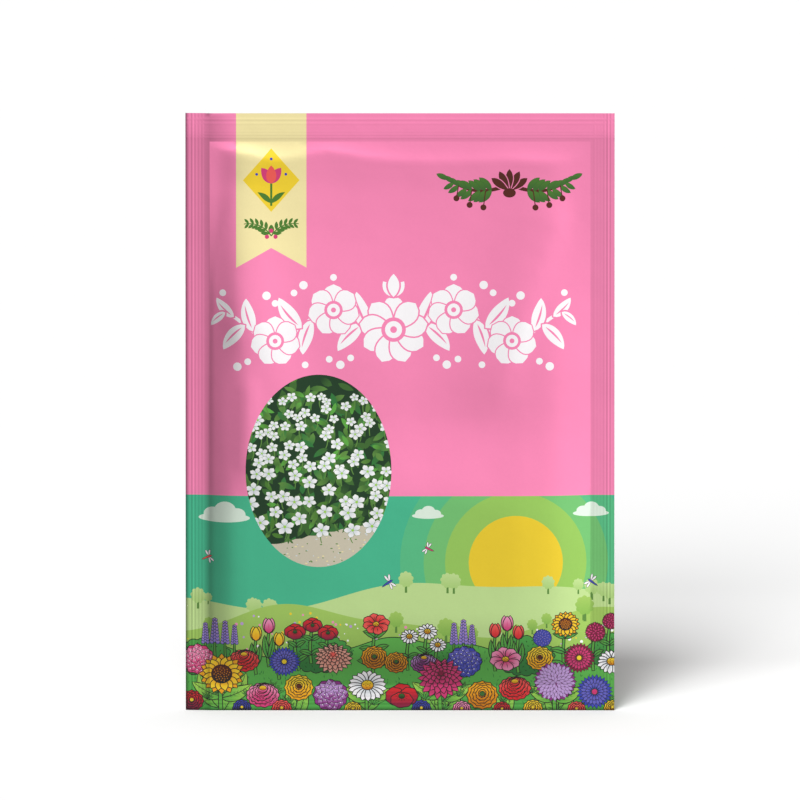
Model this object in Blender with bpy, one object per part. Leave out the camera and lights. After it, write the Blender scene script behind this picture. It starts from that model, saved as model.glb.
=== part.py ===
"""Flat sachet of printed film for flower seed, standing upright on its lower weld.

Metres, +Z up, +X across the face, and the face looks towards -Y. Two sheets of film lie back
to back on the plane y = 0 and are welded together round all four edges by ribbed jaws. Inside
the welds each sheet swells outwards, and the seed lies settled in the lower part of the pocket.
"""

import bpy
import numpy as np

MM = 0.001

# The film as cut
WIDTH = 100.0 * MM
HEIGHT = 140.0 * MM
GAUGE = 0.2 * MM

# The welds, measured inwards from the cut edges
SIDE_WELD = 5.6 * MM
TOP_WELD = 6.6 * MM
FOOT_WELD = 6.0 * MM

# Ribs pressed by the jaws: the first crest's distance from the edge, the pitch, the count
RIB_HEIGHT = 0.1 * MM
SIDE_RIBS = ((0.8 * MM, 0.75 * MM, 6),)
TOP_RIBS = ((0.9 * MM, 1.0 * MM, 2), (4.3 * MM, 0.8 * MM, 3))
FOOT_RIBS = ((0.9 * MM, 0.9 * MM, 5),)

# The pocket between the welds: how far one sheet stands out, how round its flanks are,
# how much fuller it is low down, and where the flanks start and end their turn to the flat
SWELL = 3.1 * MM
SIDE_ROUNDNESS = 3.0
SIDE_FULLNESS = 0.75
END_ROUNDNESS = 4.0
END_FULLNESS = 0.60
SAG = 0.10
TURN_START = 0.50
TURN_END = 0.84
POCKET_COLUMNS = 22
POCKET_ROWS = 28

# The seed in the pocket
SEED_HALF_WIDTH = 35.0 * MM
SEED_HALF_HEIGHT = 20.0 * MM
SEED_ABOVE_WELD = 4.0 * MM
SEED_CLEARANCE = 0.3 * MM
SEED_RIM = 0.2 * MM
SEED_ROUNDING = 0.3
SEED_COLUMNS = 14
SEED_ROWS = 10

# The print: a plain upper field over a meadow field
PRINT_LINE = 50.6 * MM
PINK = (1.0, 0.26, 0.48, 1.0)
GREEN = (0.07, 0.50, 0.28, 1.0)
SEED_BROWN = (0.16, 0.09, 0.05, 1.0)

POCKET_HALF_WIDTH = WIDTH / 2 - SIDE_WELD
POCKET_HALF_HEIGHT = (HEIGHT - TOP_WELD - FOOT_WELD) / 2
POCKET_MIDDLE = FOOT_WELD + POCKET_HALF_HEIGHT


def clear_scene():
    for obj in list(bpy.data.objects):
        bpy.data.objects.remove(obj, do_unlink=True)


def material(name, color, roughness):
    made = bpy.data.materials.new(name)
    made.use_nodes = True
    shader = made.node_tree.nodes["Principled BSDF"]
    shader.inputs["Base Color"].default_value = color
    shader.inputs["Roughness"].default_value = roughness
    shader.inputs["Metallic"].default_value = 0.0
    return made


def weld_profile(weld, groups):
    """Distances from the edge and the rib height at each: zero between ribs, full on a crest."""
    distances, heights = [0.0], [0.0]
    for first, pitch, count in groups:
        for step in range(2 * count + 1):
            distances.append(first + (step - 1) * pitch / 2)
            heights.append(RIB_HEIGHT * (step % 2))
    return np.array(distances + [weld]), np.array(heights + [0.0])


def pocket_steps(count):
    """Steps from -1 to 1, close together at both ends where the film turns fastest."""
    return -np.cos(np.linspace(0.0, np.pi, count + 1))


def grid_lines():
    """The column places across and the row places up, with the print line as one of the rows."""
    side, _ = weld_profile(SIDE_WELD, SIDE_RIBS)
    foot, _ = weld_profile(FOOT_WELD, FOOT_RIBS)
    top, _ = weld_profile(TOP_WELD, TOP_RIBS)
    pocket_across = POCKET_HALF_WIDTH * pocket_steps(POCKET_COLUMNS)[1:-1]
    pocket_up = POCKET_MIDDLE + POCKET_HALF_HEIGHT * pocket_steps(POCKET_ROWS)[1:-1]
    pocket_up[np.abs(pocket_up - PRINT_LINE).argmin()] = PRINT_LINE
    across = np.concatenate([side - WIDTH / 2, pocket_across, (WIDTH / 2 - side)[::-1]])
    up = np.concatenate([foot, pocket_up, (HEIGHT - top)[::-1]])
    return across, up


def turned_flat(rise):
    """The rise itself up to TURN_START, then a parabola that is level from TURN_END on."""
    over = np.clip(rise - TURN_START, 0.0, TURN_END - TURN_START)
    level = np.minimum(rise, TURN_END) - over**2 / (2 * (TURN_END - TURN_START))
    return level / ((TURN_START + TURN_END) / 2)


def swell_at(x, z):
    """How far one sheet stands off the middle plane: round flanks up to a flat middle."""
    u = np.clip(np.abs(x) / POCKET_HALF_WIDTH, 0.0, 1.0)
    v = np.clip((z - POCKET_MIDDLE) / POCKET_HALF_HEIGHT, -1.0, 1.0)
    across = (1 - u**SIDE_ROUNDNESS) ** SIDE_FULLNESS
    up = (1 - np.abs(v) ** END_ROUNDNESS) ** END_FULLNESS
    return SWELL * turned_flat(across * up * (1 - SAG * v))


def ribs_at(x, z):
    """Height of the pressed ribs; where side ribs and end ribs cross, the taller one shows."""
    side = np.interp(WIDTH / 2 - np.abs(x), *weld_profile(SIDE_WELD, SIDE_RIBS))
    foot = np.interp(z, *weld_profile(FOOT_WELD, FOOT_RIBS))
    top = np.interp(HEIGHT - z, *weld_profile(TOP_WELD, TOP_RIBS))
    return np.maximum(side, np.maximum(foot, top))


def grid_faces(rows, columns, start, inward):
    """Quads of a grid of points counted row by row from start; they face -Y unless inward."""
    corner = start + np.arange(rows * columns).reshape(rows, columns)
    quads = np.stack(
        [corner[:-1, :-1], corner[:-1, 1:], corner[1:, 1:], corner[1:, :-1]], axis=-1
    ).reshape(-1, 4)
    return quads[:, ::-1] if inward else quads


def rim_faces(rows, columns):
    """Quads that join the edge of the near grid to the same edge of the far grid."""
    corner = np.arange(rows * columns).reshape(rows, columns)
    loop = np.concatenate(
        [corner[0, :-1], corner[:-1, -1], corner[-1, :0:-1], corner[:0:-1, 0]]
    )
    after = np.roll(loop, -1)
    return np.stack([after, loop, loop + rows * columns, after + rows * columns], axis=-1)


def slab(name, x, z, near, far, materials):
    """A closed solid between two surfaces over the same grid of places, near at the lower y."""
    rows, columns = x.shape
    points = np.concatenate(
        [np.stack([x, y, z], axis=-1).reshape(-1, 3) for y in (near, far)]
    )
    faces = np.concatenate(
        [
            grid_faces(rows, columns, 0, inward=False),
            grid_faces(rows, columns, rows * columns, inward=True),
            rim_faces(rows, columns),
        ]
    )
    mesh = bpy.data.meshes.new(name)
    mesh.from_pydata(points.tolist(), [], faces.tolist())
    for made in materials:
        mesh.materials.append(made)
    if len(materials) > 1:
        middles = points[faces, 2].mean(axis=1)
        lower = (middles < PRINT_LINE).astype(np.int32)
        mesh.polygons.foreach_set("material_index", lower)
    mesh.shade_smooth()
    mesh.set_sharp_from_angle(angle=np.radians(35))
    mesh.update()
    body = bpy.data.objects.new(name, mesh)
    bpy.context.collection.objects.link(body)
    return body


def make_films():
    """The two printed sheets, front towards -Y, touching face to face in the welds."""
    across, up = grid_lines()
    x, z = np.meshgrid(across, up)
    inner = swell_at(x, z)
    outer = inner + GAUGE + ribs_at(x, z)
    for name, near, far in (
        ("front_film", -outer, -inner),
        ("back_film", inner, outer),
    ):
        upper = material(name + "_upper_print", PINK, 0.35)
        lower = material(name + "_lower_print", GREEN, 0.35)
        slab(name, x, z, near, far, (upper, lower))


def make_seed():
    """Settled seed: a rounded cake that fills the pocket's depth and thins out to its rim."""
    p, q = np.meshgrid(np.linspace(-1, 1, SEED_COLUMNS + 1), np.linspace(-1, 1, SEED_ROWS + 1))
    middle = FOOT_WELD + SEED_ABOVE_WELD + SEED_HALF_HEIGHT
    x = SEED_HALF_WIDTH * p * (1 - q**2 / 2) ** SEED_ROUNDING
    z = middle + SEED_HALF_HEIGHT * q * (1 - p**2 / 2) ** SEED_ROUNDING
    room = swell_at(x, z) - SEED_CLEARANCE - SEED_RIM
    towards_rim = np.maximum(np.abs(p), np.abs(q))
    half = SEED_RIM + room * np.sqrt(1 - towards_rim**4)
    slab("seed_fill", x, z, -half, half, (material("seed_brown", SEED_BROWN, 0.8),))


clear_scene()
make_films()
make_seed()
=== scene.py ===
import math

import bpy
import numpy as np
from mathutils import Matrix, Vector
from mathutils.geometry import delaunay_2d_cdt


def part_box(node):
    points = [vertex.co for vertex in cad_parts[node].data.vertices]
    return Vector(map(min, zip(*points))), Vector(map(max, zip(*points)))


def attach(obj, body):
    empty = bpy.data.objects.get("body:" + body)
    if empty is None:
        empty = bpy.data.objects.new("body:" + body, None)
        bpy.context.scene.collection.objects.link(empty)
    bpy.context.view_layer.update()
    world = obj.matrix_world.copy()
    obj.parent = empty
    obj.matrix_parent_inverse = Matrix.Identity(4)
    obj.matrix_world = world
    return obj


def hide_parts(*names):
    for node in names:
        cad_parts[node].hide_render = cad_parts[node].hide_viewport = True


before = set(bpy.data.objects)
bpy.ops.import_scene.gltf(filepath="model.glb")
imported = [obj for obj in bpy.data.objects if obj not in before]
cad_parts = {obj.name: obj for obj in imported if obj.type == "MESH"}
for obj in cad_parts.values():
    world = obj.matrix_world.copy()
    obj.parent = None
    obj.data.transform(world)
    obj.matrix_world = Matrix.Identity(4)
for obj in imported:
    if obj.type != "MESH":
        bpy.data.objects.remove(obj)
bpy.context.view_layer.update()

# Shapes are worked out in millimetres: x across the face, z up it, and the depth that the film
# stands off the middle plane. MM turns them into the frame's metres.
MM = 0.001
FILM_LOW, FILM_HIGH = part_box("front_film")
HALF_WIDTH = FILM_HIGH.x / MM
HEIGHT = FILM_HIGH.z / MM
FULL_DEPTH = -FILM_LOW.y / MM

# The welds and the ribs pressed into them: the first crest's distance from the edge, the pitch,
# and each crest's share of RIB_HEIGHT
GAUGE = 0.15
SIDE_WELD, TOP_WELD, FOOT_WELD = 5.6, 6.6, 6.0
RIB_HEIGHT = 0.024
LEFT_RIBS = ((0.86, 0.79, (1.0, 2.1, 1.1, 0.8, 0.9)),)
RIGHT_RIBS = ((0.8, 0.77, (1.5, 2.1, 1.0, 0.3, 0.3, 0.5)),)
TOP_RIBS = ((1.42, 1.0, (1.1, 0.7)), (4.3, 0.7, (0.3, 0.5, 0.6)))
FOOT_RIBS = ((0.9, 0.9, (1.2, 1.5, 0.8, 0.6, 0.8)),)

# The pocket between the welds: the solid sheets' gauge comes off the depth that there is. Each
# sheet runs across from weld to weld in one way low down, where the seed fills it, and in another
# higher up, where it sinks between two creased sides.
SOLID_GAUGE = 0.2
SWELL = FULL_DEPTH - SOLID_GAUGE
POCKET_HALF_WIDTH = HALF_WIDTH - SIDE_WELD
POCKET_LENGTH = HEIGHT - TOP_WELD - FOOT_WELD
ACROSS_AT = (-44.4, -43.8, -42.4, -39.5, -36.6, -33.5, -24, -8, 6, 20, 30, 36.5, 41, 44.4)
ACROSS_FULL = (0, 0.32, 0.9, 1.79, 2.17, 2.35, 2.76, 3.08, 3.13, 3.04, 2.7, 2.0, 0.95, 0)
ACROSS_SLACK = (0, 0.34, 0.94, 1.9, 2.55, 2.83, 2.66, 2.06, 1.6, 1.52, 1.7, 1.42, 0.68, 0)
SLACK_START, SLACK_END = 44.0, 70.0

# The same, upwards from the foot weld, as a share of the depth across
UP_AT = (0, 2, 4, 8, 14, 22, 64, 77, 89, 99, 107, 112, 116, 120.4, 123.2, 125.4, 127.4)
UP_SHARE = (0, 0.14, 0.3, 0.66, 0.93, 1, 1, 0.93, 0.73, 0.46, 0.27, 0.18, 0.13, 0.12, 0.11, 0.06, 0)

# The crease under the top weld: its drop below the weld by the place across. The run upwards is
# written for an even drop, and the stretch that fits it to the crease ends at CREASE_REACH.
CREASE_AT = (-44.4, -37, -29, -17.5, -6, 10, 24, 40, 44.4)
CREASE_DROP = (1.4, 2.6, 4.0, 2.3, 3.8, 4.5, 4.1, 4.0, 2.8)
EVEN_DROP, CREASE_REACH = 4.2, 24.0
CREASE_HEIGHT, CREASE_ABOVE, CREASE_BELOW = 0.53, 2.6, 5.0
CREASE_ROUNDING = 0.2

# Soft folds of the slack film: the first end and the second, the widths on the left and on the
# right of one who goes from the first to the second, and the height. Past its ends a fold dies
# away over FOLD_END of both widths. It has its full height where the pocket is FOLD_START deep.
FOLDS = (
    ((36.0, 116.0), (24.0, 80.0), 4.0, 9.0, 0.50),
    ((-35.0, 74.0), (-35.6, 60.0), 2.4, 2.8, 0.34),
    ((-38.2, 127.0), (-37.0, 92.0), 7.0, 4.0, 0.72),
    ((-20.0, 84.0), (-12.0, 62.0), 8.0, 7.0, -0.30),
)
FOLD_START, FOLD_END = 0.4, 0.8

# The welds curl forwards or back: the slope, and the bank beside the pocket and its reach
CURL_LEFT, CURL_RIGHT = (-0.085, -0.36, 0.8), (0.015, 0.0, 0.8)
CURL_TOP = (-0.05, 0.27, 1.5)
# The cut edges at the left and the foot bend back a little: from how far in, and by how much
TUCK_REACH, TUCK_DEPTH = 0.6, 0.26
# How softly the depth is held under SWELL
LIMIT_SOFTNESS = 0.07

# The mesh: the longest edge along an outline, the lattices of the two faces, and the ribs' lines
PRINT_STEP = 1.4
LATTICE_COLUMNS, LATTICE_ROWS = 56, 80
INNER_COLUMNS, INNER_ROWS = 36, 50
LINES_PER_RIB = 4
# Lines along the welds of the inner face: how far out from the pocket, and in from the cut edge
INNER_OUT, INNER_IN = (0.0, 0.3, 0.7, 1.2, 2.0, 3.2), (0.15, 0.3, 0.6)
INNER_SHORT = 0.05
# Points this close are one, places alike to this many decimals are the same, what lies this
# close to a cut edge is on it, and slopes are taken over a step to each side
SNAP = 3e-4
PLACE_DECIMALS = 4
ON_EDGE = 1e-6
SLOPE_STEP = 0.02
# The least length that is divided by, and the least area, in square metres
TINY, TINY_AREA = 1e-9, 1e-12

# The square that the finish is baked to, as shares of its side
BAND_START, BAND_WIDTH = 0.73, 0.22
EDGE_START, EDGE_END = 0.965, 0.985
BAKE_MARGIN = 0.008

# The printed artwork: where the upper field meets the lower one, how far the fields and the
# ground run past the cut edges, and the width of a drawn line
PRINT_LINE = 50.6
PAST_SIDE, PAST_FOOT, PAST_TOP = 60.0, -8.0, 150.0
GROUND_SIDE, GROUND_FOOT = 54.0, -6.0
LINE = 0.2
# How much petals vary, the radius below which a dot has fewer points, the length above which a
# leaf has side veins, the slope of the pictured bank, and the turn between two seeds
PETAL_LENGTHS, PETAL_WIDTHS = (0.93, 1.03), (0.9, 1.06)
SMALL_DOT, LARGE_LEAF = 0.2, 5.0
BANK = 0.22
GOLDEN_ANGLE = 137.508

# The camera: degrees above the level, metres away, and in pixels the frame, the packet's width
# and how far its middle lies under the frame's
ELEVATION = 6.0
CAMERA_AWAY = 8.0
FRAME_PIXELS = 800
PACKET_WIDTH_PIXELS = 428.9
PACKET_MIDDLE_PIXELS = 12.05
SENSOR_WIDTH, CLIP_END = 36.0, 100.0

# The studio: the floor's half side, its white as seen and as it throws light back, the strength
# of the white surround, and far soft lamps as name, direction, power and width in degrees
FLOOR_REACH = 15.0
FLOOR_WHITE, FLOOR_BOUNCE = 0.45, 0.14
ROOM_FILL = 0.20
FLOOR_LAMPS = (
    ("floor_lamp_high", (-0.155, -0.727, 0.669), 5.7, 24.0),
    ("floor_lamp_low", (-0.16, -0.915, 0.37), 3.8, 13.0),
    ("top_lamp", (0.0, 0.25, 0.97), 1.2, 30.0),
)
PACKET_LAMPS = (
    ("key_lamp", (0.62, -0.36, 0.70), 5.65, 22.0),
    ("back_lamp", (-0.5, 0.6, 0.62), 3.6, 30.0),
)


# ---------------------------------------------------------------- the film's shape


def pressed(distance, groups):
    """Rib height by the distance from a cut edge: a raised cosine on each crest, zero outside."""
    height = np.zeros_like(distance)
    for first, pitch, shares in groups:
        along = (distance - first) / pitch + 0.5
        number = np.floor(along).astype(int)
        inside = (number >= 0) & (number < len(shares))
        crest = np.array(shares)[number.clip(0, len(shares) - 1)]
        wave = 0.5 - 0.5 * np.cos(2 * np.pi * along)
        height = np.where(inside, RIB_HEIGHT * crest * wave, height)
    return height


def eased(share):
    """A share that starts and ends level: 3 s^2 - 2 s^3, held within 0 and 1."""
    share = np.clip(share, 0.0, 1.0)
    return share * share * (3 - 2 * share)


def flowing(at, places, values):
    """A smooth run through the values: a cubic between each two places, with mean slopes there."""
    places, values = np.array(places, float), np.array(values, float)
    slopes = np.gradient(values, places)
    k = np.clip(np.searchsorted(places, at) - 1, 0, len(places) - 2)
    step = places[k + 1] - places[k]
    t = np.clip((at - places[k]) / step, 0.0, 1.0)
    bend = step * t * (1 - t) * (slopes[k] * (1 - t) - slopes[k + 1] * t)
    return values[k] + (values[k + 1] - values[k]) * eased(t) + bend


def fold(x, z, start, end, left, right, height):
    """A soft ridge along a line: height times exp(-(d / w)^2), with its own w on each side.

    Past the line's ends it is also multiplied by exp(-(e / w)^2) of the distance past the end.
    """
    long = math.hypot(end[0] - start[0], end[1] - start[1])
    along_x, along_z = (end[0] - start[0]) / long, (end[1] - start[1]) / long
    along = (x - start[0]) * along_x + (z - start[1]) * along_z
    off = (z - start[1]) * along_x - (x - start[0]) * along_z
    past = np.maximum(0.0, np.maximum(-along, along - long))
    off = off / np.where(off > 0, left, right)
    return height * np.exp(-(off**2) - (past / (FOLD_END * (left + right))) ** 2)


def pocket_depth(x, z):
    """How far one sheet's inside stands off the middle plane, zero in the welds.

    The run across, full low down and slack higher up, is multiplied by the run upwards, whose top
    is stretched so that its ridge follows the crease. The crease is added, a peak that falls as
    exp(-distance) with a rounded top, and the folds. The sum d is held softly under SWELL, as
    SWELL - s log(1 + exp((SWELL - d) / s)) with the softness s.
    """
    slack = eased((z - SLACK_START) / (SLACK_END - SLACK_START))
    across = flowing(x, ACROSS_AT, ACROSS_FULL) * (1 - slack)
    across = across + flowing(x, ACROSS_AT, ACROSS_SLACK) * slack
    below = np.clip(HEIGHT - TOP_WELD - z, 0.0, POCKET_LENGTH)
    drop = flowing(x, CREASE_AT, CREASE_DROP)
    rest = EVEN_DROP + (below - drop) * (CREASE_REACH - EVEN_DROP) / (CREASE_REACH - drop)
    level = np.where(below < drop, below * EVEN_DROP / drop, rest)
    level = np.where(below < CREASE_REACH, level, below)
    depth = across * flowing(POCKET_LENGTH - level, UP_AT, UP_SHARE)
    room = eased(depth / FOLD_START)
    off = (below - drop) / np.where(below < drop, CREASE_ABOVE, CREASE_BELOW)
    peak = CREASE_HEIGHT * drop / EVEN_DROP
    rounded_off = np.sqrt(off**2 + CREASE_ROUNDING**2)
    depth = depth + room * peak * np.exp(CREASE_ROUNDING - rounded_off)
    depth = depth + room * sum(fold(x, z, *each) for each in FOLDS)
    over = np.log1p(np.exp((SWELL - depth) / LIMIT_SOFTNESS))
    return np.maximum(0.0, SWELL - LIMIT_SOFTNESS * over)


def bent_forward(x, z):
    """How far both sheets stand forward of the plane.

    It is the taller of the crossing ribs that the jaws press, plus for each weld its slope times
    the distance out and a bank times 1 - exp(-distance / reach), less TUCK_DEPTH times the square
    of the nearness to the left and lower cut edges, which is 1 on the edge and 0 at TUCK_REACH.
    """
    side = np.maximum(pressed(HALF_WIDTH + x, LEFT_RIBS), pressed(HALF_WIDTH - x, RIGHT_RIBS))
    foot = pressed(z, FOOT_RIBS)
    top = pressed(HEIGHT - z, TOP_RIBS)
    ribs = np.maximum(side, np.maximum(foot, top))
    curl = sum(
        slope * np.maximum(0.0, out) + bank * (1 - np.exp(-np.maximum(0.0, out) / reach))
        for out, (slope, bank, reach) in (
            (-x - POCKET_HALF_WIDTH, CURL_LEFT),
            (x - POCKET_HALF_WIDTH, CURL_RIGHT),
            (z - HEIGHT + TOP_WELD, CURL_TOP),
        )
    )
    tuck = sum(np.maximum(0.0, 1 - inwards / TUCK_REACH) ** 2 for inwards in (HALF_WIDTH + x, z))
    return ribs + curl - TUCK_DEPTH * tuck


def sheet_depth(x, z, side, gauge):
    """Depth of a sheet's face on its own side: the pocket, the gauge, and the shared bending."""
    return pocket_depth(x, z) + gauge - side * bent_forward(-side * x, z)


# ---------------------------------------------------------------- drawing tools


def linear(red, green, blue):
    """A colour given as it looks, 0 to 255, as the linear light that materials hold."""
    shown = np.array([red, green, blue]) / 255
    return np.where(shown <= 0.04045, shown / 12.92, ((shown + 0.055) / 1.055) ** 2.4)


INKS = {
    "pink": linear(252, 138, 184),
    "cream": linear(246, 231, 170),
    "gold": linear(243, 210, 46),
    "white": linear(254, 251, 253),
    "pearl": linear(214, 222, 226),
    "bark": linear(86, 34, 20),
    "sprig": linear(74, 124, 44),
    "sky": linear(70, 186, 143),
    "halo_far": linear(88, 190, 133),
    "halo_mid": linear(116, 194, 114),
    "halo_near": linear(152, 200, 92),
    "sun": linear(236, 204, 44),
    "cloud": linear(226, 242, 226),
    "far_hill": linear(193, 222, 146),
    "far_tree": linear(174, 210, 124),
    "mid_hill": linear(163, 201, 96),
    "mid_tree": linear(140, 188, 82),
    "meadow": linear(96, 180, 78),
    "grass": linear(74, 160, 70),
    "shade": linear(46, 118, 56),
    "leaf": linear(92, 168, 66),
    "lime": linear(160, 211, 84),
    "night": linear(24, 58, 30),
    "moss": linear(60, 104, 44),
    "fern": linear(94, 140, 62),
    "line": linear(40, 36, 34),
    "red": linear(214, 38, 44),
    "coral": linear(242, 92, 84),
    "peach": linear(232, 172, 152),
    "blush": linear(240, 150, 186),
    "rose": linear(214, 60, 120),
    "orange": linear(240, 168, 24),
    "amber": linear(198, 120, 16),
    "violet": linear(112, 108, 200),
    "indigo": linear(62, 72, 178),
    "lilac": linear(196, 160, 218),
    "plum": linear(142, 52, 134),
    "wine": linear(132, 28, 62),
    "stone": linear(206, 198, 176),
    "foil": linear(208, 210, 212),
}


def apart(outline):
    """The outline's edges as vectors from each point to the next."""
    return np.roll(outline, -1, axis=0) - outline


def wound_left(outline):
    """The outline running anticlockwise, whichever way it came."""
    outline = np.asarray(outline, float)
    turn = apart(outline)
    doubled_area = (outline[:, 0] * turn[:, 1] - outline[:, 1] * turn[:, 0]).sum()
    return outline[::-1] if doubled_area < 0 else outline


def subdivided(outline, step):
    """The outline with each edge cut into equal pieces no longer than step."""
    edges = apart(outline)
    pieces = np.maximum(1, np.ceil(np.hypot(*edges.T) / step)).astype(int)
    start = np.repeat(np.arange(len(outline)), pieces)
    share = np.concatenate([np.arange(n) / n for n in pieces])
    return outline[start] + edges[start] * share[:, None]


def grown(outline, amount):
    """The outline moved out everywhere by amount, along the mean of its two edges' normals."""
    edges = apart(outline)
    both = edges / np.maximum(np.hypot(*edges.T), TINY)[:, None]
    both = both + np.roll(both, 1, axis=0)
    both /= np.maximum(np.hypot(*both.T), TINY)[:, None]
    return outline + amount * np.stack([both[:, 1], -both[:, 0]], axis=1)


def placed(outline, x, z, turn=0.0, squash=1.0):
    """The outline turned by turn degrees about its origin, flattened by squash, moved to (x, z)."""
    c, s = math.cos(math.radians(turn)), math.sin(math.radians(turn))
    return outline @ np.array([[c, s], [-s, c]]) * (1, squash) + (x, z)


def box(left, low, right, high):
    """A rectangle's outline."""
    return np.array([(left, low), (right, low), (right, high), (left, high)], float)


def oval(a, b=None, count=None):
    """An ellipse of half width a and half height b, with the more points the larger it is."""
    b = a if b is None else b
    count = count or int(np.clip(14 * max(a, b) ** 0.5, 7, 64))
    around = np.arange(count) * 2 * np.pi / count
    return np.stack([a * np.cos(around), b * np.sin(around)], axis=1)


def ruffle(a, b, lobes, depth, points=4):
    """An ellipse whose radius swells by depth, a share of it, once for each of the lobes."""
    around = np.arange(lobes * points) * 2 * np.pi / (lobes * points)
    radius = 1 + depth * np.cos(lobes * around)
    return np.stack([a * radius * np.cos(around), b * radius * np.sin(around)], axis=1)


def scallop(a, b, lobes, depth, points=4):
    """An ellipse with round lobes: its radius is 1 + depth times 2 |cos(lobes t / 2)| - 1."""
    around = np.arange(lobes * points) * 2 * np.pi / (lobes * points)
    radius = 1 + depth * (2 * np.abs(np.cos(lobes * around / 2)) - 1)
    return np.stack([a * radius * np.cos(around), b * radius * np.sin(around)], axis=1)


def spine(length, bend, points):
    """A middle line from the origin along +x that turns by bend degrees, and its headings."""
    share = np.linspace(0, 1, points)
    heading = np.radians(bend) * share
    halfway = (heading[1:] + heading[:-1]) / 2
    steps = np.stack([np.cos(halfway), np.sin(halfway)], axis=1) * length / (points - 1)
    return np.concatenate([np.zeros((1, 2)), np.cumsum(steps, axis=0)]), heading


def frond(length, width, bend=0.0, belly=0.5, blunt=1.0, points=8):
    """A petal, leaf or blade along a bent middle line.

    The half width is width / 2 times sin(pi s^k) to the power blunt, where s runs from 0 at the
    foot to 1 at the tip and k puts the widest place at s = belly.
    """
    middle, heading = spine(length, bend, points)
    rise = np.linspace(0, 1, points) ** (math.log(0.5) / math.log(belly))
    half = width / 2 * np.sin(np.pi * rise).clip(0) ** blunt
    out = np.stack([-np.sin(heading), np.cos(heading)], axis=1) * half[:, None]
    return np.concatenate([middle - out, (middle + out)[-2:0:-1]])


def bow(start, end, bulge, points=8):
    """A path between two places that bulges sideways by bulge halfway, as a parabola."""
    start, end = np.array(start, float), np.array(end, float)
    share = np.linspace(0, 1, points)[:, None]
    along = end - start
    out = np.array([-along[1], along[0]]) / max(np.hypot(*along), TINY)
    return start + along * share + out * bulge * 4 * share * (1 - share)


def ribbon(path, *widths):
    """A band along the path whose width runs evenly through the widths given."""
    along = np.gradient(path, axis=0)
    along /= np.maximum(np.hypot(*along.T), TINY)[:, None]
    share = np.linspace(0, 1, len(path))
    half = np.interp(share, np.linspace(0, 1, len(widths)), widths)[:, None] / 2
    out = np.stack([-along[:, 1], along[:, 0]], axis=1) * half
    return np.concatenate([path - out, (path + out)[::-1]])


def spiral(count):
    """Evenly spread places in the unit circle: radius sqrt(k / n), turned by the golden angle."""
    k = np.arange(count) + 0.5
    return np.sqrt(k / count), k * GOLDEN_ANGLE


class Artwork:
    """Flat artwork: outlines in the order they are laid, each hiding what lies under it."""

    def __init__(self, seed):
        self.rng = np.random.default_rng(seed)
        self.outlines, self.starts, self.ends = [], [], []
        self.inks, self.deeps = [], []

    def lay(self, outline, ink, deep=None, along=False):
        """Lays one shape. Where a deep ink is given, it fades into the ink up the shape, or along
        it from its first point to the one halfway round."""
        outline = np.asarray(outline, float)
        if along:
            start, end = outline[0], outline[len(outline) // 2]
        else:
            start, end = (0.0, outline[:, 1].min()), (0.0, outline[:, 1].max())
        self.outlines.append(wound_left(outline))
        self.inks.append(INKS[ink])
        self.deeps.append(INKS[deep or ink])
        self.starts.append(start)
        self.ends.append(end)

    def inked(self, outline, ink, deep=None, along=False, line="line", width=LINE):
        """Lays one shape over a darker one that shows round it as a drawn line."""
        self.lay(grown(wound_left(outline), width), line)
        self.lay(outline, ink, deep, along)

    def strokes(self, x, z, length, width, turn, ink="line"):
        """Lays short pen strokes, pointed at both ends, centred on each place given."""
        every = np.broadcast_arrays(x, z, length, width, turn)
        for x, z, length, width, turn in zip(*(one.ravel() for one in every)):
            tick = np.array([(-length / 2, 0), (0, -width / 2), (length / 2, 0), (0, width / 2)])
            self.lay(placed(tick, x, z, turn), ink)

    def dots(self, x, z, radius, ink):
        """Lays small round dots."""
        for x, z, radius in zip(*np.broadcast_arrays(x, z, radius)):
            self.lay(placed(oval(radius, count=5 if radius < SMALL_DOT else 8), x, z), ink)

    def petals(self, x, z, count, reach, width, ink, deep=None, squash=1.0, turn=0.0, foot=0.0,
               line="line", pen=LINE, vein=False, **shape):
        """Lays a ring of petals round (x, z), the nearest last, with a vein each if asked."""
        turns = turn + np.arange(count) * 360 / count
        for at in turns[np.argsort(-np.sin(np.radians(turns)), kind="stable")]:
            length = (reach - foot) * self.rng.uniform(*PETAL_LENGTHS)
            petal = frond(length, width * self.rng.uniform(*PETAL_WIDTHS), **shape) + (foot, 0)
            self.inked(placed(petal, x, z, at, squash), ink, deep, True, line, pen)
            if vein:
                middle = placed(np.array([(foot + length * 0.5, 0.0)]), x, z, at, squash)[0]
                self.strokes(*middle, length * 0.5, 0.16, at, line)


# ---------------------------------------------------------------- flowers and leaves


def leaf(art, x, z, length, width, turn, bend=0.0, ink="lime", deep="leaf"):
    """A leaf with a midrib, and slanting veins where it is large."""
    large = length > LARGE_LEAF
    blade = frond(length, width, bend, 0.42, 0.9, 11 if large else 8)
    art.inked(placed(blade, x, z, turn), ink, deep, True)
    middle, heading = spine(length * 0.94, bend, 9 if large else 5)
    art.lay(placed(ribbon(middle, 0.22, 0.12), x, z, turn), "line")
    if not large:
        return
    spots = placed(middle[2:7], x, z, turn)
    for side in (-1, 1):
        slant = np.radians(turn + side * 42) + heading[2:7]
        reach = width * 0.30 * np.array([0.8, 1.0, 1.0, 0.85, 0.6])
        out = np.stack([np.cos(slant), np.sin(slant)], axis=1) * reach[:, None] * 0.55
        art.strokes(*(spots + out).T, reach, 0.13, np.degrees(slant), "shade")


def stem(art, start, end, bulge=0.0, width=0.5, ink="leaf"):
    """A stalk from the ground up to a flower's head."""
    art.inked(ribbon(bow(start, end, bulge), width, width * 0.75), ink)


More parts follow.
